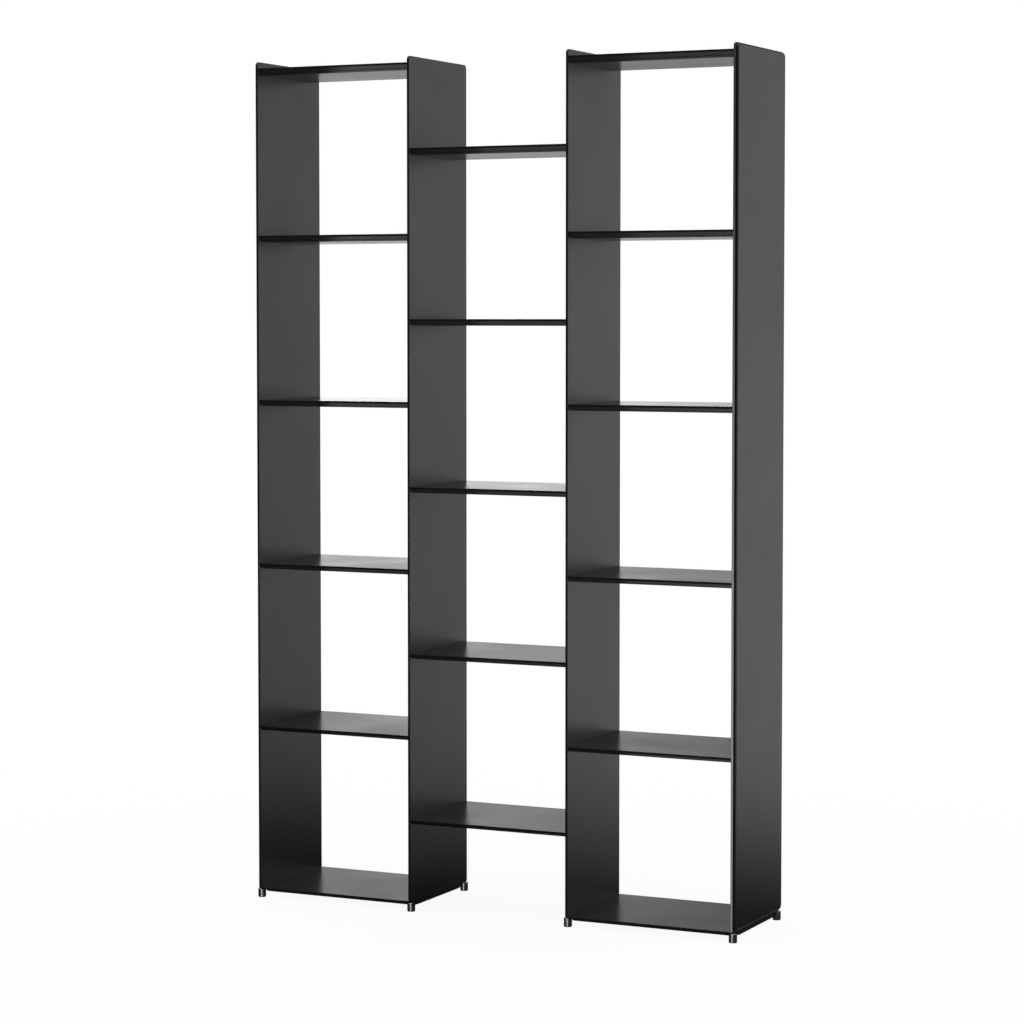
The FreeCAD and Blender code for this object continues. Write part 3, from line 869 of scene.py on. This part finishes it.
@dataclass(frozen=True)
class SoftBox:
    """A rectangular studio lamp aimed at a point, with its power in watts."""

    name: str
    place: Triple
    aim: Triple
    width: float
    height: float
    power: float
    use: LampUse = LampUse.LIGHT

    def build(self) -> None:
        """Make the lamp; a lamp for light keeps its own rectangle out of the gloss."""
        light = bpy.data.lights.new(self.name, "AREA")
        light.shape = "RECTANGLE"
        light.size = self.width
        light.size_y = self.height
        light.energy = self.power
        lamp = add_object(self.name, light)
        lamp.location = self.place
        ahead = Vector(self.aim) - Vector(self.place)
        lamp.rotation_euler = ahead.to_track_quat("-Z", "Y").to_euler()
        lamp.visible_camera = False
        lamp.visible_glossy = self.use is LampUse.SHEEN
        lamp.visible_diffuse = self.use is LampUse.LIGHT


@dataclass(frozen=True)
class Glow:
    """A soft bright patch of the white sweep round the object, as its gloss sees it.

    Attributes:
        level: Brightness at its middle, where 1 is white.
        turn: Direction of its middle in degrees, counted from +X towards +Y.
        width: Sine of the angle sideways at which it has faded to a third.
        height: Sine of the angle upwards at which it has faded to a third.
    """

    level: float
    turn: float
    width: float
    height: float

    def sideways(self, steps: NodeTree, direction: object) -> Socket:
        """Brightness by direction alone, given as a unit vector away from the object.

        It is a bell curve of the sine of the angle from the middle, and 0 in the opposite half.
        """
        turn = math.radians(self.turn)
        ahead = steps.vector_math("DOT_PRODUCT", direction, (math.cos(turn), math.sin(turn), 0.0))
        beside = steps.vector_math("DOT_PRODUCT", direction, (-math.sin(turn), math.cos(turn), 0.0))
        bell = steps.bell(beside.outputs["Value"], self.width)
        facing = steps.math("GREATER_THAN", ahead.outputs["Value"], 0.0)
        return steps.math("MULTIPLY", steps.math("MULTIPLY", bell, facing), self.level)


@dataclass(frozen=True)
class FrontFill:
    """The evenly lit front half of the sweep, with a dim gap in which the camera stands.

    Attributes:
        level: Brightness, where 1 is white.
        full: Y of the directions up to which it is full.
        faded: Y of the directions from which on it has faded out.
        gap: The gap: what is missing in its middle, its direction and its width.
    """

    level: float = 1.3
    full: float = -0.1
    faded: float = 0.55
    gap: Glow = Glow(0.95, 244.5, 0.24, 1.0)

    def added_to(self, level: object, steps: NodeTree, direction: object,
                 share: object = 1.0) -> Socket:
        """Another brightness with the fill added and the gap taken out of both.

        Args:
            level: The other brightness.
            steps: The tree to add to.
            direction: Output socket of a unit vector away from the object.
            share: How much of the fill there is.

        Returns:
            The brightness.
        """
        across = steps.split(direction)["Y"]
        fill = steps.map_range(across, self.full, self.faded, self.level, 0.0, smooth=True)
        total = steps.math("ADD", level, steps.math("MULTIPLY", fill, share))
        left = steps.math("SUBTRACT", 1.0, self.gap.sideways(steps, direction))
        return steps.math("MULTIPLY", total, left)


@dataclass(frozen=True)
class Floor:
    """Level white floor.

    Seen directly it is white and keeps a share of the object's shadow, which fades out around it.
    In the gloss it is dark near the object, and further out each glow and the front fill come in,
    each over its own reach: two distances in metres.

    Attributes:
        radius: Radius of the disc.
        around: Points round its rim.
        tone: Its colour in ordinary light.
        shadow_share: How much of the shadow is kept at the middle.
        shadow_end: Distance at which nothing is left of the shadow.
        near_level: Brightness in the gloss near the object.
        right_glow: Glow behind on the right; its reach is measured towards the rear.
        left_glow: Glow behind on the left.
        left_fill: Glow on the left.
        front_fill: Fill of the front half.
    """

    radius: float = 60.0
    around: int = 96
    tone: float = 0.9
    shadow_share: float = 0.07
    shadow_end: float = 2.6
    near_level: float = 0.02
    right_glow: Glow = Glow(0.7, 58.6, 0.7, 1.0)
    right_reach: tuple[float, float] = (-0.3, 2.8)
    left_glow: Glow = Glow(0.64, 118.0, 0.5, 1.0)
    left_reach: tuple[float, float] = (3.0, 30.0)
    left_fill: Glow = Glow(1.4, 155.0, 0.4, 1.0)
    left_fill_reach: tuple[float, float] = (1.5, 4.0)
    front_fill: FrontFill = FrontFill()
    front_reach: tuple[float, float] = (1.6, 4.4)

    def build(self) -> None:
        """Make the disc and its material."""
        angles = angles_round(self.around)
        rim = np.stack([np.cos(angles), np.sin(angles), np.zeros_like(angles)], axis=-1)
        mesh = bpy.data.meshes.new("floor")
        mesh.from_pydata((rim * self.radius).tolist(), [], [list(range(len(rim)))])
        mesh.materials.append(self._material())
        floor = add_object("floor", mesh)

    def _material(self) -> Material:
        """The sweep's light to gloss, and otherwise white with a little of the shadow."""
        material = bpy.data.materials.new("studio floor")
        material.use_nodes = True
        steps = NodeTree(material.node_tree)
        material.node_tree.nodes.clear()
        rays = steps.add("ShaderNodeLightPath").outputs
        place = steps.place()
        distance = steps.vector_math("LENGTH", place).outputs["Value"]
        direct = self._direct(steps, rays, distance)
        sweep = steps.add("ShaderNodeEmission")
        steps.feed(sweep.inputs["Strength"], self._gloss(steps, place, distance))
        mixed = steps.mix_shader(rays["Is Glossy Ray"], direct, sweep)
        steps.feed(steps.add("ShaderNodeOutputMaterial").inputs["Surface"], mixed.outputs[0])
        return material

    def _direct(self, steps: NodeTree, rays: bpy.types.NodeOutputs,
                distance: object) -> bpy.types.Node:
        """White where it is seen, less the shadow's share, and a white board to other light."""
        board = steps.add("ShaderNodeBsdfDiffuse")
        board.inputs["Color"].default_value = colour(self.tone)
        white = steps.add("ShaderNodeEmission")
        seen = steps.math("MAXIMUM", rays["Is Camera Ray"], rays["Is Transmission Ray"])
        kept = steps.map_range(distance, 0.0, self.shadow_end, self.shadow_share, 0.0, smooth=True)
        share = steps.math("MULTIPLY", seen, steps.math("SUBTRACT", 1.0, kept))
        return steps.mix_shader(share, board, white)

    def _gloss(self, steps: NodeTree, place: object, distance: object) -> Socket:
        """Brightness that the gloss sees."""
        away = steps.vector_math("NORMALIZE", place).outputs["Vector"]
        level = self.near_level
        for glow, measure, reach in ((self.right_glow, steps.split(place)["Y"], self.right_reach),
                                     (self.left_glow, distance, self.left_reach),
                                     (self.left_fill, distance, self.left_fill_reach)):
            spread = steps.map_range(measure, *reach, 0.0, 1.0, smooth=True)
            brightness = steps.math("MULTIPLY", glow.sideways(steps, away), spread)
            level = steps.math("ADD", level, brightness)
        spread = steps.map_range(distance, *self.front_reach, 0.0, 1.0, smooth=True)
        return self.front_fill.added_to(level, steps, away, spread)


@dataclass(frozen=True)
class Surroundings:
    """The white sweep behind and around the object.

    Seen directly it is plain white. The gloss sees a broad glow behind on the right, two behind on
    the left, the front fill with its gap where the camera stands, and light from overhead. All
    other light is even.

    Attributes:
        even_level: Brightness of the even light, where 1 is white.
        gloss_level: Brightness that the gloss sees between the glows, at the horizon.
        gloss_rise: How much that changes up to the zenith.
        gloss_to_rear: How much it changes towards the rear.
        glows: The glows behind the object.
        front_fill: Fill of the front half.
        overhead_level: Brightness of the light from overhead.
        overhead_start: Z of the directions at which that light begins.
        overhead_full: Z of the directions from which on it is full.
    """

    even_level: float = 0.55
    gloss_level: float = 0.12
    gloss_rise: float = -0.144
    gloss_to_rear: float = -0.12
    glows: tuple[Glow, ...] = (Glow(1.0, 58.0, 0.345, 0.396), Glow(2.2, 118.5, 0.125, 0.145),
                               Glow(1.45, 118.5, 0.26, 0.145))
    front_fill: FrontFill = FrontFill()
    overhead_level: float = 1.3
    overhead_start: float = 0.55
    overhead_full: float = 0.85

    def build(self) -> None:
        """Make the world."""
        world = bpy.data.worlds.new("surroundings")
        bpy.context.scene.world = world
        world.use_nodes = True
        steps = NodeTree(world.node_tree)
        world.node_tree.nodes.clear()
        direction = steps.add("ShaderNodeTexCoord").outputs["Generated"]
        rays = steps.add("ShaderNodeLightPath").outputs
        even = self._background(steps, self.even_level)
        gloss = self._background(steps, self._gloss(steps, direction))
        white = self._background(steps, 1.0)
        lit = steps.mix_shader(rays["Is Glossy Ray"], even, gloss)
        seen = steps.math("MAXIMUM", rays["Is Camera Ray"], rays["Is Transmission Ray"])
        mixed = steps.mix_shader(seen, lit, white)
        steps.feed(steps.add("ShaderNodeOutputWorld").inputs["Surface"], mixed.outputs[0])

    @staticmethod
    def _background(steps: NodeTree, level: object) -> bpy.types.Node:
        """Neutral background of a brightness; returns the node."""
        node = steps.add("ShaderNodeBackground")
        steps.feed(node.inputs["Color"], colour(1.0))
        steps.feed(node.inputs["Strength"], level)
        return node

    def _gloss(self, steps: NodeTree, direction: Socket) -> Socket:
        """Brightness that the gloss sees: a slope, the glows, the front fill and the overhead."""
        parts = steps.split(direction)
        rise = steps.math("MULTIPLY", parts["Z"], self.gloss_rise)
        rear = steps.math("MULTIPLY", parts["Y"], self.gloss_to_rear)
        level = steps.math("ADD", steps.math("ADD", rise, rear), self.gloss_level)
        for glow in self.glows:
            brightness = steps.math("MULTIPLY", glow.sideways(steps, direction),
                                    steps.bell(parts["Z"], glow.height))
            level = steps.math("ADD", level, brightness)
        level = self.front_fill.added_to(steps.math("MAXIMUM", level, 0.0), steps, direction)
        overhead = steps.map_range(parts["Z"], self.overhead_start, self.overhead_full,
                                   0.0, self.overhead_level, smooth=True)
        return steps.math("MAXIMUM", level, overhead)


@dataclass(frozen=True)
class Viewpoint:
    """The camera, for a square picture.

    Attributes:
        place: Where it stands.
        turn: Its turn to the left from the Y axis, in degrees.
        drop: How far it looks down, in degrees.
        focal_pixels: Focal length in pixels of the picture.
        frame_pixels: Side of the picture in pixels.
        sensor_width: Width of the sensor in millimetres.
        shift: Upward shift of the lens, as a share of the picture.
    """

    place: Triple = (2.99935, -6.27729, 1.40725)
    turn: float = 25.5867
    drop: float = 3.0227
    focal_pixels: float = 2953.5
    frame_pixels: float = 1024.0
    sensor_width: float = 36.0
    shift: float = -0.04

    def build(self) -> None:
        """Make the camera and use it."""
        data = bpy.data.cameras.new("camera")
        data.sensor_width = self.sensor_width
        data.lens = self.focal_pixels / self.frame_pixels * self.sensor_width
        data.shift_y = self.shift
        camera = add_object("camera", data)
        camera.location = self.place
        camera.rotation_euler = (math.radians(90.0 - self.drop), 0.0, math.radians(self.turn))
        bpy.context.scene.camera = camera


@dataclass
class Studio:
    """White floor and surroundings, soft lamps and the camera.

    The lamps aim at the middle of the object, and the low strip at a lower point.
    """

    floor: Floor = Floor()
    surroundings: Surroundings = Surroundings()
    viewpoint: Viewpoint = Viewpoint()
    aim: Triple = (0.0, 0.0, 1.0)
    low_aim: Triple = (0.0, 0.0, 0.3)

    def build(self) -> None:
        """Build the floor, the surroundings and the camera, and set up the lamps.

        The key lamp stands in front on the left, a fill on the right, one lamp behind on the left
        and one overhead. A low strip in front gives a sheen on the glossy feet.
        """
        self.floor.build()
        self.surroundings.build()
        self.viewpoint.build()
        lamps = [
            SoftBox("key_box", (-2.6, -4.6, 3.2), self.aim, 2.6, 2.6, 90.0),
            SoftBox("fill_box", (4.8, 1.2, 2.2), self.aim, 2.4, 2.4, 50.0),
            SoftBox("rear_box", (-1.5, 4.8, 2.6), self.aim, 2.6, 2.6, 60.0),
            SoftBox("top_box", (0.0, 0.0, 5.4), self.aim, 3.0, 3.0, 60.0),
            SoftBox("kick_strip", (0.45, -4.9, 0.25), self.low_aim, 0.4, 0.5, 210.0, LampUse.SHEEN),
        ]
        for lamp in lamps:
            lamp.build()
        LOG.info("built the studio with %d lamps", len(lamps))


def main() -> None:
    """Dress the shelving, make its small parts and set up the studio."""
    logging.basicConfig(level=logging.INFO, format="%(name)s: %(message)s")
    bpy.context.scene.view_settings.view_transform = "Standard"
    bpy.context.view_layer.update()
    effects = Effects()
    coat, end_coat, cover_coat, zinc, black, bar, nylon = (finish.material(effects) for finish in (
        PowderCoat("black powder coat"),
        # The last upright's front edge carries a painted highlight, lighter towards the bottom.
        PowderCoat("black powder coat with a painted front highlight", front_highlight_tone=0.2),
        # The cover carries a painted reflection of the floor in a band along its lower edge.
        PowderCoat("black powder coat with a painted floor reflection", floor_reflection_tone=0.07),
        GrainedFinish("zinc-plated steel", 0.42, 1.0, 0.25, 0.4, LATHE_RINGS),
        GrainedFinish("black plated steel", 0.25, 0.645, 0.2, 0.27, LATHE_RINGS),
        GrainedFinish("extruded aluminium", 0.58, 0.8, 0.3, 0.45, DIE_LINES,
                      edge_width=0.6 * MM, edge_breakup=0.4),
        GrainedFinish("black nylon", 0.012, 0.09, 0.42, 0.6, MOULD_GRAIN,
                      metallic=0.0, edge_breakup=0.6),
    ))
    Carcass(coat, end_coat, cover_coat, bar).build()
    Shelves(coat).build()
    Fixings(zinc).build()
    LevellingFeet(black, nylon, zinc).build()
    Studio().build()


if __name__ == "__main__":
    main()
